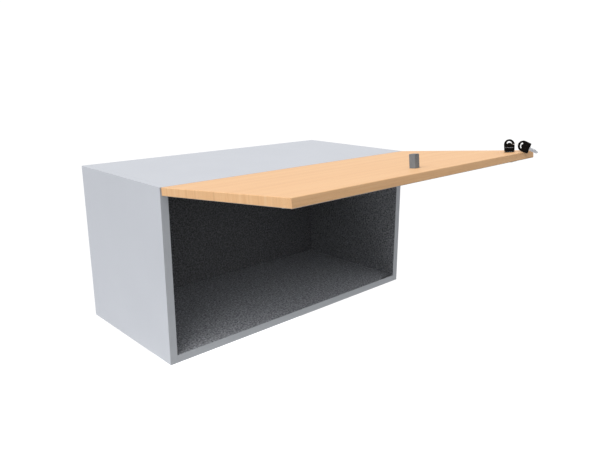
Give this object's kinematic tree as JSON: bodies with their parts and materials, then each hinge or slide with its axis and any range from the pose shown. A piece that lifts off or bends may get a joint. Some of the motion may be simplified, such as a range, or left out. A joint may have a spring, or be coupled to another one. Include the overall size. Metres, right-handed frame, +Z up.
{
  "type": "flap door wall cabinet",
  "caption": "Overhead wall cabinet with a top-hung wooden flap door held open level, cup hinges, square handle, cam lock and keys on a ring.",
  "frame": {"origin": "middle of the cabinet's rear face, where it meets the wall", "axes": "+Y into the wall, +X to the right for someone facing the door, +Z up; the door stands open at rest"},
  "size_m": [0.8, 0.8105, 0.4687],
  "materials": {
    "carcass_board": "pale grey melamine-faced board, satin",
    "carcass_edging": "mid grey lipping",
    "back_board": "dark charcoal melamine with a fine fleck",
    "door_board": "pale beech decor, satin",
    "door_edging": "beech lipping, satin",
    "dowel_wood": "fluted beech",
    "hinge_nickel": "nickel-plated pressed steel",
    "zinc": "zinc-plated steel",
    "handle_metal": "satin grey anodised",
    "strike_steel": "satin steel",
    "lock_black": "black, satin",
    "key_nickel": "nickel-plated steel",
    "key_plastic": "black moulded plastic",
    "bumper_rubber": "translucent soft dot"
  },
  "bodies": {
    "carcass": {"back_board": "back_board", "bottom_board": "carcass_board", "bottom_edging": "carcass_edging", "dowel_back_left": "dowel_wood", "dowel_back_right": "dowel_wood", "dowel_bottom_left_front": "dowel_wood", "dowel_bottom_left_rear": "dowel_wood", "dowel_bottom_right_front": "dowel_wood", "dowel_bottom_right_rear": "dowel_wood", "dowel_top_left_front": "dowel_wood", "dowel_top_left_rear": "dowel_wood", "dowel_top_right_front": "dowel_wood", "dowel_top_right_rear": "dowel_wood", "hinge_arm_left": "hinge_nickel", "hinge_arm_right": "hinge_nickel", "hinge_clamp_screw_left": "zinc", "hinge_clamp_screw_right": "zinc", "hinge_plate_left": "hinge_nickel", "hinge_plate_right": "hinge_nickel", "hinge_plate_screw_left_left": "zinc", "hinge_plate_screw_left_right": "zinc", "hinge_plate_screw_right_left": "zinc", "hinge_plate_screw_right_right": "zinc", "left_side": "carcass_board", "left_side_edging": "carcass_edging", "right_side": "carcass_board", "right_side_edging": "carcass_edging", "strike_plate": "strike_steel", "top_board": "carcass_board", "top_edging": "carcass_edging"},
    "door": {"bumper_left": "bumper_rubber", "bumper_right": "bumper_rubber", "door_bottom_edging": "door_edging", "door_left_edging": "door_edging", "door_panel": "door_board", "door_right_edging": "door_edging", "door_top_edging": "door_edging", "handle": "handle_metal", "handle_screw": "zinc", "hinge_cup_left": "hinge_nickel", "hinge_cup_right": "hinge_nickel", "hinge_cup_screw_left_inner": "zinc", "hinge_cup_screw_left_outer": "zinc", "hinge_cup_screw_right_inner": "zinc", "hinge_cup_screw_right_outer": "zinc", "hinge_pin_left": "zinc", "hinge_pin_right": "zinc", "lock_housing": "lock_black", "lock_nut": "zinc"},
    "lock_core": {"cam_clip": "zinc", "lock_barrel": "key_nickel", "lock_cam": "zinc"},
    "key": {"key_blade": "key_nickel", "key_head": "key_plastic"},
    "key_ring": {"key_ring": "key_nickel"},
    "spare_key": {"spare_key_blade": "key_nickel", "spare_key_head": "key_plastic"}
  },
  "joints": [
    {"name": "door_swing", "type": "hinge", "parent": "carcass", "child": "door", "pos_m": [0, -0.39, 0.191], "axis": [1, 0, 0], "range_deg": [0, 96]},
    {"name": "lock_turn", "type": "hinge", "parent": "door", "child": "lock_core", "pos_m": [0.349, -0.7395, 0.23799], "axis": [0, -0.1045, -0.9945], "range_deg": [0, 90]},
    {"name": "key_slide", "type": "slide", "parent": "lock_core", "child": "key", "axis": [0, 0.1045, 0.9945], "range_m": [0, 0.024]},
    {"name": "ring_swing", "type": "hinge", "parent": "key", "child": "key_ring", "pos_m": [0.349, -0.74275, 0.26062], "axis": [-1, 0, 0], "range_deg": [0, 20]},
    {"name": "spare_swing", "type": "hinge", "parent": "key_ring", "child": "spare_key", "pos_m": [0.349, -0.76635, 0.2577], "axis": [-1, 0, 0], "range_deg": [0, 60]}
  ],
  "couplings": [
    {"joint": "ring_swing", "follows": "lock_turn", "ratio": 0.2}
  ]
}
